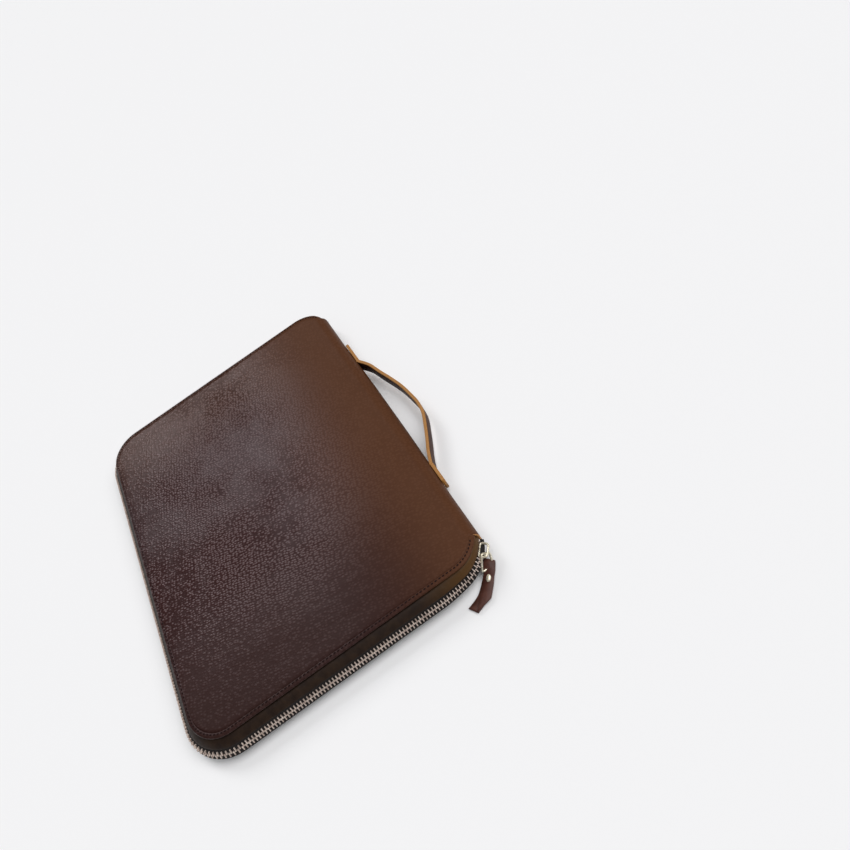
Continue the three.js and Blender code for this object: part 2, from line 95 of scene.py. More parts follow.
def colour_ramp(nodes, stops):
    ramp = nodes.new("ShaderNodeValToRGB")
    elements = ramp.color_ramp.elements
    for element, (place, colour) in zip(elements, (stops[0], stops[-1])):
        element.position = place
        element.color = (*colour, 1)
    for place, colour in stops[1:-1]:
        elements.new(place).color = (*colour, 1)
    return ramp


def noise_texture(nodes, links, place, size, detail=3, stretch=(1, 1, 1), turn=0.0):
    """Noise with blotches about that big in metres, drawn out and turned in the panel."""
    lay = nodes.new("ShaderNodeMapping")
    lay.vector_type = "TEXTURE"
    lay.inputs["Rotation"].default_value = (0, 0, turn)
    lay.inputs["Scale"].default_value = stretch
    texture = nodes.new("ShaderNodeTexNoise")
    texture.inputs["Scale"].default_value = 1 / size
    texture.inputs["Detail"].default_value = detail
    links.new(place.outputs["Object"], lay.inputs["Vector"])
    links.new(lay.outputs["Vector"], texture.inputs["Vector"])
    return texture


def share_between(nodes, links, source, low, high, to_low=0.0, to_high=1.0):
    span = nodes.new("ShaderNodeMapRange")
    span.interpolation_type = "SMOOTHSTEP"
    span.inputs["From Min"].default_value = low
    span.inputs["From Max"].default_value = high
    span.inputs["To Min"].default_value = to_low
    span.inputs["To Max"].default_value = to_high
    links.new(source, span.inputs["Value"])
    return span.outputs["Result"]


def calculate(nodes, links, operation, first, second):
    node = nodes.new("ShaderNodeMath")
    node.operation = operation
    for socket, value in zip(node.inputs, (first, second)):
        if isinstance(value, (int, float)):
            socket.default_value = value
        else:
            links.new(value, socket)
    return node.outputs["Value"]


def mixed(nodes, links, share, first, second, blend="MIX"):
    node = nodes.new("ShaderNodeMixRGB")
    node.blend_type = blend
    for socket, value in zip(node.inputs, (share, first, second)):
        if isinstance(value, tuple):
            socket.default_value = (*value, 1)
        elif isinstance(value, (int, float)):
            socket.default_value = value
        else:
            links.new(value, socket)
    return node.outputs["Color"]


def raised(nodes, links, heights):
    """Bumps laid one on the other: each is a texture value and its height in metres."""
    normal = None
    for source, height in heights:
        bump = nodes.new("ShaderNodeBump")
        bump.inputs["Distance"].default_value = height
        links.new(source, bump.inputs["Height"])
        if normal:
            links.new(normal, bump.inputs["Normal"])
        normal = bump.outputs["Normal"]
    return normal


def pebbles(nodes, links, place, size, turn=-0.26):
    """Little domes, a bit longer one way, packed irregularly: 1 at their tops, 0 between."""
    lay = nodes.new("ShaderNodeMapping")
    lay.vector_type = "TEXTURE"
    lay.inputs["Rotation"].default_value = (0, 0, turn)
    lay.inputs["Scale"].default_value = (1, 1.4, 1)
    warp = noise_texture(nodes, links, place, size * 4, 1)
    links.new(place.outputs["Object"], lay.inputs["Vector"])
    bent = mixed(nodes, links, size * 0.6, lay.outputs["Vector"], warp.outputs["Color"], "ADD")
    cells = nodes.new("ShaderNodeTexVoronoi")
    cells.feature = "F1"
    cells.inputs["Scale"].default_value = 1 / size
    cells.inputs["Randomness"].default_value = 0.62
    links.new(bent, cells.inputs["Vector"])
    dome = share_between(nodes, links, cells.outputs["Distance"], 0.7, 0.0)
    top = share_between(nodes, links, cells.outputs["Distance"], 0.65, 0.18)
    return dome, top


def hide_leather(name, dark, light, warm, shade, pebble_size, pebble_height, rough):
    """Dyed full-grain hide: warmer by the spine and pebbled most mid-panel, with painted shade making it
    darker by the zip and in the valleys between the pebbles.
    """
    material, nodes, links, shader = new_material(name)
    place = nodes.new("ShaderNodeTexCoord")
    split = nodes.new("ShaderNodeSeparateXYZ")
    links.new(place.outputs["Object"], split.inputs["Vector"])
    domes, tops = pebbles(nodes, links, place, pebble_size)
    pores = noise_texture(nodes, links, place, pebble_size * 0.3, 4)
    patches = noise_texture(nodes, links, place, 0.05, 4)
    folds = noise_texture(nodes, links, place, 0.016, 3, (1, 4.5, 1), -0.1)

    by_spine = share_between(nodes, links, split.outputs["Y"], 0.0, 0.115)
    to_end = share_between(nodes, links, split.outputs["X"], 0.02, 0.17)
    from_spine = share_between(nodes, links, split.outputs["Y"], 0.13, 0.01)
    by_zip = calculate(nodes, links, "MULTIPLY", to_end, from_spine)
    far_end = share_between(nodes, links, split.outputs["X"], -0.06, -0.17)
    smoother = calculate(nodes, links, "MULTIPLY", by_spine, 0.72)
    grainy = calculate(nodes, links, "SUBTRACT", 1.0, smoother)
    patchy = share_between(nodes, links, patches.outputs["Fac"], 0.3, 0.65, 0.7, 1.0)
    grainy = calculate(nodes, links, "MULTIPLY", grainy, patchy)
    less_by_zip = share_between(nodes, links, by_zip, 0.0, 1.0, 1.0, 0.45)
    grainy = calculate(nodes, links, "MULTIPLY", grainy, less_by_zip)
    heights = calculate(nodes, links, "MULTIPLY", domes, grainy)
    normal = raised(nodes, links, [(folds.outputs["Fac"], 0.0005), (heights, pebble_height),
                                   (pores.outputs["Fac"], pebble_height * 0.12)])
    links.new(normal, shader.inputs["Normal"])

    base = colour_ramp(nodes, [(0.3, dark), (0.7, light)])
    links.new(patches.outputs["Fac"], base.inputs["Fac"])
    colour = mixed(nodes, links, by_spine, base.outputs["Color"], warm)
    colour = mixed(nodes, links, calculate(nodes, links, "MULTIPLY", far_end, 0.55), colour, warm)
    # Painted shade: towards the zip end the colour is mixed towards the darker shade colour.
    colour = mixed(nodes, links, calculate(nodes, links, "MULTIPLY", by_zip, 0.75), colour, shade)
    # Painted shade: the colour darkens to about half in the valleys between the pebbles.
    painted_valley_shade = colour_ramp(nodes, [(0.0, (0.50, 0.46, 0.46)), (0.6, (1, 1, 1))])
    links.new(tops, painted_valley_shade.inputs["Fac"])
    colour = mixed(nodes, links, calculate(nodes, links, "MULTIPLY", grainy, 0.8), colour,
                   mixed(nodes, links, 1.0, colour, painted_valley_shade.outputs["Color"], "MULTIPLY"))
    links.new(colour, shader.inputs["Base Color"])
    dull = calculate(nodes, links, "ADD", by_spine, calculate(nodes, links, "MULTIPLY", by_zip, 0.6))
    gloss = calculate(nodes, links, "ADD", rough, calculate(nodes, links, "MULTIPLY", dull, 0.14))
    links.new(gloss, shader.inputs["Roughness"])
    shine = share_between(nodes, links, dull, 0.0, 1.0, 0.60, 0.12)
    valleys = share_between(nodes, links, tops, 0.0, 1.0, 0.93, 0.0)
    lost = calculate(nodes, links, "MULTIPLY", grainy, valleys)
    between = calculate(nodes, links, "SUBTRACT", 1.0, lost)
    level = calculate(nodes, links, "MULTIPLY", shine, between)
    links.new(level, shader.inputs["Specular IOR Level"])
    shader.inputs["Specular Tint"].default_value = (1, 0.86, 0.90, 1)
    return material


def plain_leather(name, dark, light, grain_size, grain_height, rough, shine, by_slider=None):
    """Smooth leather with fine pores and soft wrinkles."""
    material, nodes, links, shader = new_material(name)
    place = nodes.new("ShaderNodeTexCoord")
    pores = noise_texture(nodes, links, place, grain_size, 4)
    folds = noise_texture(nodes, links, place, 0.006, 3)
    normal = raised(nodes, links, [(folds.outputs["Fac"], 0.0004),
                                   (pores.outputs["Fac"], grain_height)])
    links.new(normal, shader.inputs["Normal"])
    base = colour_ramp(nodes, [(0.35, dark), (0.65, light)])
    links.new(folds.outputs["Fac"], base.inputs["Fac"])
    colour = base.outputs["Color"]
    if by_slider:
        split = nodes.new("ShaderNodeSeparateXYZ")
        links.new(place.outputs["Object"], split.inputs["Vector"])
        by_spine = share_between(nodes, links, split.outputs["Y"], 0.06, 0.115)
        by_end = share_between(nodes, links, split.outputs["X"], 0.10, 0.15)
        near = calculate(nodes, links, "MULTIPLY", by_spine, by_end)
        colour = mixed(nodes, links, near, colour, by_slider)
    links.new(colour, shader.inputs["Base Color"])
    shader.inputs["Roughness"].default_value = rough
    shader.inputs["Specular IOR Level"].default_value = shine
    return material


def raw_edge(name, dark, light, at_spine=None):
    """Cut edge with its fibres showing, of another colour near the spine if one is given."""
    material, nodes, links, shader = new_material(name)
    place = nodes.new("ShaderNodeTexCoord")
    fibre = noise_texture(nodes, links, place, 0.0011, 5)
    shade = colour_ramp(nodes, [(0.3, dark), (0.7, light)])
    links.new(fibre.outputs["Fac"], shade.inputs["Fac"])
    colour = shade.outputs["Color"]
    if at_spine:
        split = nodes.new("ShaderNodeSeparateXYZ")
        links.new(place.outputs["Object"], split.inputs["Vector"])
        by_spine = share_between(nodes, links, split.outputs["Y"],
                                 half_depth - 0.008, half_depth - 0.005)
        colour = mixed(nodes, links, by_spine, colour, at_spine)
    links.new(colour, shader.inputs["Base Color"])
    links.new(raised(nodes, links, [(fibre.outputs["Fac"], 0.0001)]), shader.inputs["Normal"])
    shader.inputs["Roughness"].default_value = 0.6
    return material


def half_width(y, inset):
    """Half of the sheet's width at a depth across the panel, that far inside its edge."""
    radius = corner_radius - inset
    over = max(abs(y) - corner_y, 0.0)
    width = corner_x + math.sqrt(max(radius * radius - over * over, 0.0))
    return max(width, spine_end) if y > 0 else width


def panel_height(x, y):
    """How far the leather of a panel stands up over its edge."""
    across = (spine_start + half_depth) / 2
    centre = (spine_start - half_depth) / 2
    crown = (1 - (x / half_length) ** 2) * (1 - ((y - centre) / across) ** 2)
    crown = max(crown, 0.0)
    waves = noise.noise(Vector((x * 9, y * 12, 0.3))) * 0.0005
    waves += noise.noise(Vector((x * 24, y * 16, 4.1))) * 0.00012
    return panel_crown * crown + waves * smooth_step(crown, 0.0, 0.25)


# The shade colour below is painted shade, laid on by the zip.
body_leather = hide_leather("pebbled cowhide", dark=(0.035, 0.0115, 0.0115), light=(0.049, 0.0175, 0.0165),
                            warm=(0.086, 0.033, 0.014), shade=(0.024, 0.0095, 0.0065),
                            pebble_size=0.0021, pebble_height=0.00027, rough=0.36)
sheet_edge = raw_edge("raw sheet edge", dark=(0.05, 0.024, 0.014), light=(0.085, 0.040, 0.022),
                      at_spine=(0.42, 0.19, 0.055))
corner_steps = 14
straight_steps = 66
shoulder_steps = 12
turn_steps = 15


def wrap_rows():
    """Rows of the sheet from the front panel's open edge round the spine to the back's."""
    reach = corner_radius - sheet_inset
    turns = [math.radians(90 * k / corner_steps) for k in range(corner_steps)]
    open_corner = [-corner_y - reach * math.cos(turn) for turn in turns]
    straight = [-corner_y + 2 * corner_y * k / straight_steps for k in range(straight_steps)]
    shoulder = spine_start - corner_y
    by_spine = [corner_y + shoulder * k / shoulder_steps for k in range(shoulder_steps)]
    panel = open_corner + straight + by_spine
    rows = [(y, thick, 1) for y in panel]
    for k in range(turn_steps + 1):
        turn = math.radians(90 * k / turn_steps)
        y = spine_start + spine_radius * math.sin(turn)
        z = thick - spine_radius * (1 - math.cos(turn))
        rows.append((y, z, 0))
    rows += [(half_depth, middle, 0)]
    rows += [(y, thick - z, side) for y, z, side in reversed(rows[:-1])]
    return [(y, z, side if z > middle else -side) for y, z, side in rows]


rows = wrap_rows()
columns = 140
sheet = bmesh.new()
bmesh.ops.create_grid(sheet, x_segments=columns, y_segments=len(rows) - 1, size=1)
for vert in sheet.verts:
    y, z, side = rows[round((vert.co.y + 1) / 2 * (len(rows) - 1))]
    x = vert.co.x * half_width(y, sheet_inset)
    edge = min(half_width(y, sheet_inset) - abs(x), y + half_depth - sheet_inset)
    by_edge = 1 - smooth_step(edge, 0.0, edge_band)
    if side == 1:
        z += panel_height(x, y) - top_edge_drop * by_edge
    if side == -1:
        z += bottom_edge_lift * by_edge
    mid_spine = 1 - smooth_step(abs(x), 0.03, 0.12)
    bulge = spine_bulge * mid_spine * smooth_step(y, spine_start, half_depth)
    vert.co = (x, y + bulge, z)
bmesh.ops.recalc_face_normals(sheet, faces=sheet.faces)
if max(sheet.faces, key=lambda face: face.calc_center_median().z).normal.z < 0:
    bmesh.ops.reverse_faces(sheet, faces=sheet.faces)
body = finish_piece("body_sheet", sheet, [body_leather, sheet_edge])
wall = body.modifiers.new("leather thickness", "SOLIDIFY")
wall.thickness = sheet_thickness
wall.offset = -1
wall.material_offset_rim = 1
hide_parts("case_body")


# Turned edges: on the three open sides each panel's edge is folded under and sewn down,
# so it is rounder than the sheet, with the seam about 3 mm inside it.
lip_thickness = 0.0029
clearance = 0.0003
gusset_inset = 0.0015
gusset_thickness = 0.0015
tape_thickness = 0.0008
gusset_reach_in = gusset_inset + gusset_thickness + clearance + tape_thickness + 0.001
rim_end_angle = math.acos((spine_end + clearance - corner_x) / (corner_radius - gusset_reach_in))
end_arc = corner_radius * rim_end_angle
quarter_arc = corner_radius * math.pi / 2
rim_length = 2 * end_arc + 2 * quarter_arc + 4 * corner_y + 2 * corner_x
tucked = 0.0025


def rim_at(run):
    """Point on the panels' outline and its outward normal, run metres from the +X spine end."""
    parts = [(end_arc, corner_x, corner_y, rim_end_angle), (2 * corner_y, None, None, 0.0),
             (quarter_arc, corner_x, -corner_y, 0.0), (2 * corner_x, None, None, -math.pi / 2),
             (quarter_arc, -corner_x, -corner_y, -math.pi / 2), (2 * corner_y, None, None, -math.pi),
             (end_arc + tucked, -corner_x, corner_y, -math.pi)]
    spot = None
    for length, centre_x, centre_y, angle in parts:
        here = min(run, length)
        if centre_x is not None:
            turn = angle - here / corner_radius
            normal = Vector((math.cos(turn), math.sin(turn), 0))
            spot = Vector((centre_x, centre_y, 0)) + normal * corner_radius
        else:
            normal = Vector((math.cos(angle), math.sin(angle), 0))
            spot = spot + Vector((normal.y, -normal.x, 0)) * here
        run -= length
        if run <= 0:
            break
    return spot, normal


def squeezed(y, z):
    """Near the spine the panels turn down over its rounding, and the rim goes with them."""
    over = min(max(y - spine_start, 0.0), spine_radius)
    drop = spine_radius - math.sqrt(spine_radius ** 2 - over ** 2)
    return middle + (z - middle) * (middle - drop) / middle


def rim_point(run, outward, z):
    spot, normal = rim_at(run)
    x = spot.x + normal.x * outward
    y = spot.y + normal.y * outward
    return Vector((x, y, squeezed(y, z)))


def rim_runs(step):
    """Evenly spaced runs along the whole rim, from under the spine's end to the other."""
    count = round((rim_length + 2 * tucked) / step)
    return [-tucked + (rim_length + 2 * tucked) * k / count for k in range(count + 1)]


def carried(sections, slots=None, ring=False):
    """A closed section carried along a row of places. Slots names each side's material."""
    bm = bmesh.new()
    sides = len(sections[0])
    steps = len(sections) if ring else len(sections) - 1
    bmesh.ops.create_grid(bm, x_segments=sides, y_segments=steps, size=1)
    if slots:
        for face in bm.faces:
            face.material_index = slots[int((face.calc_center_median().x + 1) / 2 * sides)]
    for vert in bm.verts:
        across = round((vert.co.x + 1) / 2 * sides) % sides
        along = round((vert.co.y + 1) / 2 * steps) % len(sections)
        vert.co = sections[along][across]
    bmesh.ops.remove_doubles(bm, verts=bm.verts, dist=1e-7)
    if not ring:
        bmesh.ops.holes_fill(bm, edges=bm.edges, sides=0)
    bmesh.ops.recalc_face_normals(bm, faces=bm.faces)
    return bm


def along_rim(section, upper=True, step=0.003):
    sections = []
    for run in rim_runs(step):
        sections.append([rim_point(run, out, z if upper else thick - z) for out, z in section(run)])
    return carried(sections)


def lip_section(run):
    """From the edge of the panel over the rounded fold, and back under past the gusset's top."""
    top = thick
    under = thick - lip_thickness - 0.0006
    return [(-0.0054, top - 0.0012), (-0.0043, top - 0.0002), (-0.0036, top - 0.0001),
            (-0.0026, top + 0.00005), (-0.0016, top - 0.0001), (-0.0009, top - 0.0003),
            (-0.0004, top - 0.0007), (-0.0001, top - 0.0012), (-0.0003, top - 0.0017),
            (-0.0011, top - 0.0021), (-0.0018, under), (-0.0054, under)]


for name, upper in (("turned_edge_upper", True), ("turned_edge_lower", False)):
    finish_piece(name, along_rim(lip_section, upper), [body_leather])


# Seam: dark red-brown thread sewn through the turned edge, one stitch each 3.4 mm, pulled
# a little into the leather.
thread, _, _, thread_shader = new_material("waxed thread")
thread_shader.inputs["Base Color"].default_value = (0.012, 0.003, 0.003, 1)
thread_shader.inputs["Specular IOR Level"].default_value = 0.15
thread_shader.inputs["Roughness"].default_value = 0.7
stitch_pitch = 0.0034
stitch_length = 0.0023
stitch_start_in = 0.0031
stitch_end_in = 0.0028
half_stitch_width = 0.00055
half_stitch_height = 0.00035
for name, level in (("seam_upper", thick + 0.0002), ("seam_lower", 0.00045)):
    seam = bmesh.new()
    for k in range(int(rim_length / stitch_pitch) - 1):
        run = (k + 0.8) * stitch_pitch
        start = rim_point(run, -stitch_start_in, level)
        end = rim_point(run + stitch_length, -stitch_end_in, level)
        line = end - start
        turn = line.to_track_quat("X", "Z").to_matrix().to_4x4()
        size = Matrix.Diagonal((line.length / 2, half_stitch_width, half_stitch_height, 1))
        lay = Matrix.Translation((start + end) / 2) @ turn @ size @ Matrix.Rotation(math.pi / 2, 4, "Y")
        bmesh.ops.create_uvsphere(seam, u_segments=8, v_segments=5, radius=1, matrix=lay)
    finish_piece(name, seam, [thread])


# Gussets: two strips of smoother leather, from under each turned edge out to the zip.
# Each is folded along the zip, so its outer edge is round.
gusset_reach = 0.0053
gusset_top = thick - lip_thickness - clearance
chain_width = 0.0059
gusset_edge = middle + chain_width / 2 + clearance + gusset_thickness * 0.8
lower_bulge = 0.0019


def gusset_frame(run):
    """Top point, edge point, and unit vectors down the slope and into the case."""
    to_end = min(run, rim_length - run)
    lean = 0.35 + 0.65 * smooth_step(to_end, 0.0, 0.055)
    edge = Vector((-gusset_inset + (gusset_reach + gusset_inset) * lean, gusset_edge))
    top = Vector((-gusset_inset, gusset_top))
    down = (edge - top).normalized()
    inward = Vector((down.y, -down.x))
    return top, edge, down, inward


def gusset_section(run, further=0.0):
    top, edge, down, inward = gusset_frame(run)
    edge = edge + down * 0.0011 + Vector((further, 0))
    soft = noise.noise(Vector((run * 30, 0.7, 0.2))) * 0.0003
    belly = top.lerp(edge, 0.5) - inward * (0.0004 + soft)
    half = inward * gusset_thickness / 2
    nose = edge + half - down * gusset_thickness / 2
    points = [top, top.lerp(belly, 0.5) - inward * 0.0002,
              belly, belly.lerp(edge, 0.6) - inward * 0.0002]
    for k in range(6):
        angle = math.pi * k / 5
        points.append(nose + down * math.sin(angle) * gusset_thickness / 2 - half * math.cos(angle))
    points.append(top + inward * gusset_thickness)
    return [(p.x, p.y) for p in points]


gusset_leather = plain_leather("smooth gusset leather", dark=(0.014, 0.0065, 0.0035),
                               light=(0.024, 0.012, 0.006), grain_size=0.0005, grain_height=0.00005,
                               rough=0.5, shine=0.2, by_slider=(0.080, 0.036, 0.008))
strip = finish_piece("gusset_strip_upper", along_rim(gusset_section), [gusset_leather])
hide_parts("gusset_upper")
strip = finish_piece("gusset_strip_lower", along_rim(lambda run: gusset_section(run, lower_bulge), False),
                     [gusset_leather])
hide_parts("gusset_lower")


# Zip tapes: dark woven cloth behind the gussets, with the teeth clamped on the free edge.
def weave(name, colour, pitch):
    material, nodes, links, shader = new_material(name)
    place = nodes.new("ShaderNodeTexCoord")
    threads = nodes.new("ShaderNodeTexChecker")
    threads.inputs["Scale"].default_value = 1 / pitch
    links.new(place.outputs["Object"], threads.inputs["Vector"])
    links.new(raised(nodes, links, [(threads.outputs["Fac"], 0.0001)]), shader.inputs["Normal"])
    shader.inputs["Base Color"].default_value = (*colour, 1)
    shader.inputs["Roughness"].default_value = 0.9
    return material


tape_cloth = weave("woven zip tape", (0.008, 0.005, 0.004), 0.0006)
for node in ("zip_tape_upper", "zip_tape_lower"):
    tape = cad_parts[node]
    tape.data.materials.clear()
    tape.data.materials.append(tape_cloth)


def chain_offset(run):
    _, edge, down, inward = gusset_frame(run)
    start = edge + inward * (gusset_thickness + clearance + tape_thickness / 2)
    return start.x + down.x * (middle - start.y) / down.y


chain_lean = math.radians(36)
chain_forward = 0.0016
chain_lift = 0.0006


def leaning_section(run):
    """Section of the tape right behind the teeth: up is along the leaning chain."""
    points = []
    for up, out in ((0.0052, -0.0008), (0.0052, -0.0013), (-0.0046, -0.0013), (-0.0046, -0.0008)):
        away = chain_offset(run) + chain_forward - up * math.sin(chain_lean) + out * math.cos(chain_lean)
        rise = middle + chain_lift + up * math.cos(chain_lean) + out * math.sin(chain_lean)
        points.append((away, rise))
    return points


finish_piece("zip_tape_edges", along_rim(leaning_section), [tape_cloth], smooth=False)


# Teeth: stamped metal bars of a size-5 zip, alternately on the upper and the lower tape,
# whose heads lock in one another along the middle. The lower gusset bulges out further,
# so the whole chain lies leaning back.
def metal(name, dark, colour, rough):
    material, nodes, links, shader = new_material(name)
    place = nodes.new("ShaderNodeTexCoord")
    worn = noise_texture(nodes, links, place, 0.0025, 4)
    shade = colour_ramp(nodes, [(0.35, dark), (0.65, colour)])
    links.new(worn.outputs["Fac"], shade.inputs["Fac"])
    links.new(shade.outputs["Color"], shader.inputs["Base Color"])
    links.new(share_between(nodes, links, worn.outputs["Fac"], 0.2, 0.8, rough, rough + 0.12),
              shader.inputs["Roughness"])
    shader.inputs["Metallic"].default_value = 0.6
    return material


def zip_frame(run):
    """Axes at a place on the zip: X towards the slider's end, Y up, Z out of the case."""
    spot, normal = rim_at(run)
    centre = spot + normal * chain_offset(run)
    centre.z = middle
    up = Vector((0, 0, 1))
    axes = Matrix((up.cross(normal), up, normal)).transposed().to_4x4()
    return Matrix.Translation(centre) @ axes


def bar(bm, place, centre, size):
    lay = place @ Matrix.Translation(centre) @ Matrix.Diagonal((*size, 1))
    bmesh.ops.create_cube(bm, size=1, matrix=lay)


def soften_edges(bm, offset, segments):
    bmesh.ops.bevel(bm, geom=bm.edges[:], offset=offset, segments=segments, affect="EDGES",
                    profile=0.5, material=-1)


zip_metal = metal("pinkish zip metal", dark=(0.55, 0.43, 0.37), colour=(0.86, 0.74, 0.66), rough=0.34)
tooth_pitch = 0.0029
slider_run = 0.005
slider_length = 0.012
first_tooth = slider_run + slider_length / 2 + 0.0006
last_gap = 0.0030
tooth_shank = (0.0008, 0.0032, 0.0013)
tooth_head = (0.0012, 0.0010, 0.0014)
stop_size = (0.0022, 0.0046, 0.0026)
leaning = Matrix.Translation((0, chain_lift, chain_forward)) @ Matrix.Rotation(-chain_lean, 4, "X")
teeth = bmesh.new()
for k in range(int((rim_length - first_tooth - last_gap) / (tooth_pitch / 2))):
    place = zip_frame(first_tooth + k * tooth_pitch / 2) @ leaning
    side = 1 if k % 2 else -1
    bar(teeth, place, (0, side * 0.0014, 0.0001), tooth_shank)
    bar(teeth, place, (0, side * 0.0001, 0.0002), tooth_head)
soften_edges(teeth, 0.00015, 1)
chain = finish_piece("zip_teeth", teeth, [zip_metal], smooth=False)
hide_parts("zip_chain")
for name, run, node in (("end_stop_near", -0.0012, "zip_stop_near"),
                        ("end_stop_far", rim_length, "zip_stop_far")):
    stop_bm = bmesh.new()
    bar(stop_bm, zip_frame(run), (0, 0, -0.0004), stop_size)
    soften_edges(stop_bm, 0.0005, 3)
    stop = finish_piece(name, stop_bm, [zip_metal])
    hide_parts(node)


# Slider: two metal plates joined by a neck ride the teeth, coloured dark brown as painted shade and
# dark reflection, and a tall arch of pale gold metal over the outer plate carries the pull's loop.
pale_metal = metal("pale gold", dark=(0.62, 0.55, 0.40), colour=(0.90, 0.84, 0.70), rough=0.2)
# Painted shade: the plates are coloured dark brown for the shade and dark reflections on them.
painted_shade_metal = metal("slider plate with painted shade", dark=(0.055, 0.036, 0.026), colour=(0.12, 0.085, 0.06),
                     rough=0.45)
slider_place = zip_frame(slider_run)
slider = bmesh.new()
plate_shift = -0.0008
plate_thickness = 0.0012
neck_size = (0.0030, 0.0022, 0.0040)
flange_size = (0.0100, 0.0009, 0.0020)
slider_parts = [((plate_shift, 0, -0.0002), (slider_length, 0.0076, plate_thickness)),
                ((plate_shift, 0, -0.0040), (slider_length, 0.0070, plate_thickness)),
                ((0.0028, 0, -0.0020), neck_size),
                ((plate_shift, 0.0036, -0.0007), flange_size),
                ((plate_shift, -0.0036, -0.0007), flange_size)]
for centre, size in slider_parts:
    bar(slider, slider_place, centre, size)
soften_edges(slider, 0.00045, 3)
slider_body = finish_piece("slider_plates", slider, [painted_shade_metal])
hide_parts("zip_slider")


def round_wire(points, width, height, ring=False, across=None):
    """Wire along a run of points. Across fixes the way that its width lies."""
    centre = sum(points, Vector()) / len(points)
    sections = []
    for k, point in enumerate(points):
        before = points[k - 1] if ring or k else point
        after = points[(k + 1) % len(points)] if ring or k < len(points) - 1 else point
        tangent = (after - before).normalized()
        side = across or tangent.cross(point - centre).normalized()
        other = tangent.cross(side).normalized()
        turns = [2 * math.pi * j / 12 for j in range(12)]
        sections.append([point + side * math.cos(turn) * width / 2 + other * math.sin(turn) * height / 2
                         for turn in turns])
    return carried(sections, ring=ring)


def rounded_run(corners, bend, steps=6, ring=False):
    """Points along a bent wire, each corner rounded off."""
    points = []
    for k, corner in enumerate(corners):
        if not ring and k in (0, len(corners) - 1):
            points.append(corner)
            continue
        before = corners[k - 1]
        after = corners[(k + 1) % len(corners)]
        start = corner + (before - corner).normalized() * bend
        end = corner + (after - corner).normalized() * bend
        for j in range(steps + 1):
            t = j / steps
            points.append(start * (1 - t) ** 2 + corner * 2 * t * (1 - t) + end * t * t)
    return points


arch_height = 0.0070
arch_foot = 0.0001
arch_bend = 0.0026
arch_corners = [Vector((-0.0070, 0, arch_foot)), Vector((-0.0062, 0, arch_height)),
                Vector((0.0043, 0, arch_height)), Vector((0.0050, 0, arch_foot))]
arch_run = rounded_run([slider_place @ corner for corner in arch_corners], arch_bend, 8, ring=True)
arch_across = slider_place.to_3x3() @ Vector((0, 1, 0))
arch_wire = round_wire(arch_run, width=0.0025, height=0.0019, ring=True, across=arch_across)
arch = finish_piece("slider_arch", arch_wire, [pale_metal])
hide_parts("pull_ring")


# Loop: bent wire through the slider's arch. It lies aslant, its left leg on top of the
# strap and its right leg under it.
loop_bend = 0.0019
loop_corners = [Vector((0.1702, 0.1240, 0.0157)), Vector((0.1706, 0.1302, 0.0108)),
                Vector((0.1782, 0.1268, 0.0056)), Vector((0.1788, 0.1170, 0.0072))]
loop_run = rounded_run(loop_corners, loop_bend, 6, ring=True)
loop_wire = round_wire(loop_run, width=0.0024, height=0.0018, ring=True)
loop = finish_piece("pull_wire", loop_wire, [pale_metal])
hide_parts("pull_loop")


# Pull: a strap of smooth brown leather folded round the loop and held by one stud. The
# upper ply ends in a slanting cut, and the under ply has swung out to the left.
strap_leather = plain_leather("smooth strap leather", dark=(0.055, 0.018, 0.012),
                              light=(0.090, 0.032, 0.022), grain_size=0.0006, grain_height=0.00008,
                              rough=0.45, shine=0.25)
strap_line = [((0.1975, 0.0950, 0.0010), (0.86, 0.51, 0)), ((0.1930, 0.1068, 0.0010), (0.80, 0.60, 0)),
              ((0.1850, 0.1160, 0.0016), (0.78, 0.62, 0)), ((0.1800, 0.1215, 0.0026), (0.75, 0.66, -0.08)),
              ((0.1762, 0.1248, 0.0040), (0.75, 0.66, -0.1)), ((0.1738, 0.1268, 0.0054), (0.75, 0.66, -0.1)),
              ((0.1742, 0.1266, 0.0078), (0.75, 0.66, -0.1)), ((0.1775, 0.1240, 0.0079), (0.75, 0.66, -0.1)),
              ((0.1812, 0.1212, 0.0062), (0.74, 0.67, -0.05)), ((0.1845, 0.1185, 0.0045), (0.73, 0.68, 0)),
              ((0.1905, 0.1130, 0.0034), (0.71, 0.70, 0)), ((0.1995, 0.1042, 0.0029), (0.70, 0.71, 0))]
strap_width = 0.0086
strap_ply = 0.0013
strap_slant = 0.0062
slant_steps = 15


def eased(points, steps):
    """A smooth run through given points."""
    run = []
    for k in range(len(points) - 1):
        a, b, c, d = (points[min(max(k + j, 0), len(points) - 1)] for j in (-1, 0, 1, 2))
        for j in range(steps):
            t = j / steps
            run.append(0.5 * (2 * b + (c - a) * t + (2 * a - 5 * b + 4 * c - d) * t * t
                              + (3 * b - a - 3 * c + d) * t ** 3))
    return run + [points[-1]]


strap_points = eased([Vector(place) for place, across in strap_line], 6)
strap_across = eased([Vector(across) for place, across in strap_line], 6)
strap_sections = []
for k, (point, across) in enumerate(zip(strap_points, strap_across)):
    ahead = strap_points[min(k + 1, len(strap_points) - 1)] - strap_points[max(k - 1, 0)]
    across = across.normalized()
    tangent = ahead.normalized()
    face = tangent.cross(across).normalized()
    last = len(strap_points) - 1
    slant = strap_slant * smooth_step(k, last - slant_steps, last)
    edges = [(-1, -0.7), (-0.96, -1), (0.96, -1), (1, -0.7), (1, 0.7), (0.96, 1), (-0.96, 1), (-1, 0.7)]
    strap_sections.append([point + across * a * strap_width / 2 + face * f * strap_ply / 2
                           - tangent * a * slant for a, f in edges])
strap = finish_piece("pull_leather", carried(strap_sections), [strap_leather])
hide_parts("pull_strap")
stud_bm = bmesh.new()
bmesh.ops.create_uvsphere(stud_bm, u_segments=24, v_segments=12, radius=1)
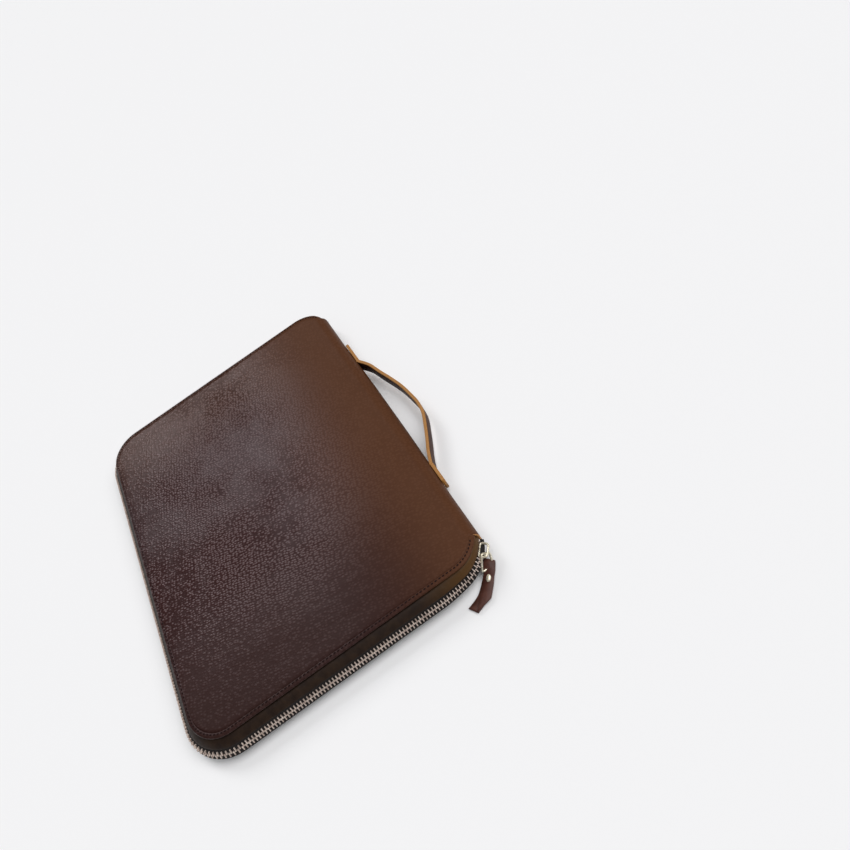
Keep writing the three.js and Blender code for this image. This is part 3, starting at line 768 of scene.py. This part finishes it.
stud_place = Matrix.Translation((0.1846, 0.1184, 0.0052)) @ Matrix.Rotation(math.radians(-42), 4, "Z")
stud_tilt = Matrix.Rotation(0.15, 4, "Y")
stud_size = Matrix.Diagonal((0.0031, 0.0021, 0.0012, 1))
bmesh.ops.transform(stud_bm, verts=stud_bm.verts, matrix=stud_place @ stud_tilt @ stud_size)
stud = finish_piece("pull_rivet", stud_bm, [pale_metal])
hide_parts("pull_stud")


# Handle: a 3 mm strap, brown on both faces and raw tan on its cut edges. Its two tabs lie
# flat on the spine, with no fastening in sight, and it bows away from the case between them.
handle_span = 0.152
handle_shift = -0.001
handle_stand_off = 0.022
far_tab_marks = (0.028, 0.018, 0.009, 0.002)
near_tab_marks = (0.002, 0.007, 0.014, 0.022)
handle_bow = [(-1, 0), (-0.9, 0.19), (-0.8, 0.34), (-0.62, 0.5), (-0.42, 0.7), (-0.2, 0.88), (0.04, 0.98),
              (0.17, 1), (0.33, 0.93), (0.52, 0.68), (0.69, 0.43), (0.85, 0.18), (1, 0)]
handle_thickness = 0.0030
handle_height = 0.0135
handle_seat = half_depth + clearance + handle_thickness / 2
handle_points = [Vector((handle_shift - handle_span / 2 - out, handle_seat, middle))
                 for out in far_tab_marks]
for along, out in handle_bow:
    handle_points.append(Vector((handle_shift + along * handle_span / 2,
                                 handle_seat + out * handle_stand_off, middle)))
handle_points += [Vector((handle_shift + handle_span / 2 + out, handle_seat, middle))
                  for out in near_tab_marks]
handle_run = eased(handle_points, 5)
rounded = [(-1, 0.6), (-0.93, 0.85), (-0.7, 0.97), (0, 1), (0.7, 0.97), (0.93, 0.85), (1, 0.6)]
outline = rounded + [(out, -up) for out, up in reversed(rounded)]
edge_sides = [1, 1, 1, 1, 1, 1, 0, 1, 1, 1, 1, 1, 1, 0]
handle_sections = []
for k, point in enumerate(handle_run):
    ahead = handle_run[min(k + 1, len(handle_run) - 1)] - handle_run[max(k - 1, 0)]
    normal = Vector((-ahead.y, ahead.x, 0)).normalized()
    core = handle_height / 2 - handle_thickness / 2
    section = []
    for out, up in outline:
        rise = math.copysign(core, up) + up * handle_thickness / 2
        section.append(point + normal * out * handle_thickness / 2 + Vector((0, 0, rise)))
    handle_sections.append(section)
handle_leather = plain_leather("handle strap leather", dark=(0.040, 0.014, 0.008),
                               light=(0.060, 0.021, 0.012), grain_size=0.0006, grain_height=0.0001,
                               rough=0.5, shine=0.08)
handle_edge = raw_edge("ochre cut edge", dark=(0.27, 0.115, 0.020), light=(0.42, 0.19, 0.042))
handle = finish_piece("handle_strap", carried(handle_sections, edge_sides), [handle_leather, handle_edge])
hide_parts("handle")


# Floor and backdrop: one pale sheet.
floor_material, _, _, floor_shader = new_material("pale floor")
floor_shader.inputs["Base Color"].default_value = (0.88, 0.88, 0.89, 1)
floor_shader.inputs["Roughness"].default_value = 0.9
floor_shader.inputs["Specular IOR Level"].default_value = 0.1
floor_bm = bmesh.new()
bmesh.ops.create_grid(floor_bm, x_segments=1, y_segments=1, size=12)
floor_mesh = bpy.data.meshes.new("floor")
floor_bm.to_mesh(floor_mesh)
floor_bm.free()
floor = bpy.data.objects.new("floor", floor_mesh)
floor_mesh.materials.append(floor_material)
bpy.context.collection.objects.link(floor)


# Light: a dim white room, one very wide soft light overhead, and one that strikes a sheen
# on the panel from the left.
world = bpy.data.worlds.new("soft white room")
bpy.context.scene.world = world
world.use_nodes = True
background = world.node_tree.nodes["Background"]
background.inputs["Color"].default_value = (1, 1, 1, 1)
background.inputs["Strength"].default_value = 0.16
bpy.context.scene.view_settings.view_transform = "Standard"


def distant_light(name, towards, spread, strength):
    light = bpy.data.lights.new(name, "SUN")
    light.angle = math.radians(spread)
    light.energy = strength
    lamp = bpy.data.objects.new(name, light)
    lamp.rotation_euler = (-Vector(towards)).to_track_quat("-Z", "Y").to_euler()
    lamp.location = Vector(towards) * 2
    bpy.context.collection.objects.link(lamp)


distant_light("overhead", (0.25, 0.45, 1.0), 60, 2.4)
distant_light("sheen", (-0.72, -0.20, 0.70), 24, 0.85)


# Camera: where the photograph was taken from, against this case. Its axes are the
# photograph's right, up and towards-the-viewer directions in the case's own frame.
photo_width_pixels = 850
focal_length_pixels = 700
sensor_width = 36
camera_data = bpy.data.cameras.new("camera")
camera_data.sensor_width = sensor_width
camera_data.lens = focal_length_pixels / photo_width_pixels * sensor_width
camera_data.clip_start = 0.01
camera = bpy.data.objects.new("camera", camera_data)
right = Vector((0.46303296, 0.81727721, -0.34301374))
up = Vector((-0.62182916, 0.57531382, 0.53135911))
back = Vector((0.63160824, -0.03274083, 0.77459607))
viewpoint = Vector((0.4255621, 0.1283458, 0.46864198 + thick))
camera.matrix_world = Matrix.Translation(viewpoint) @ Matrix((right, up, back)).transposed().to_4x4()
bpy.context.collection.objects.link(camera)
bpy.context.scene.camera = camera
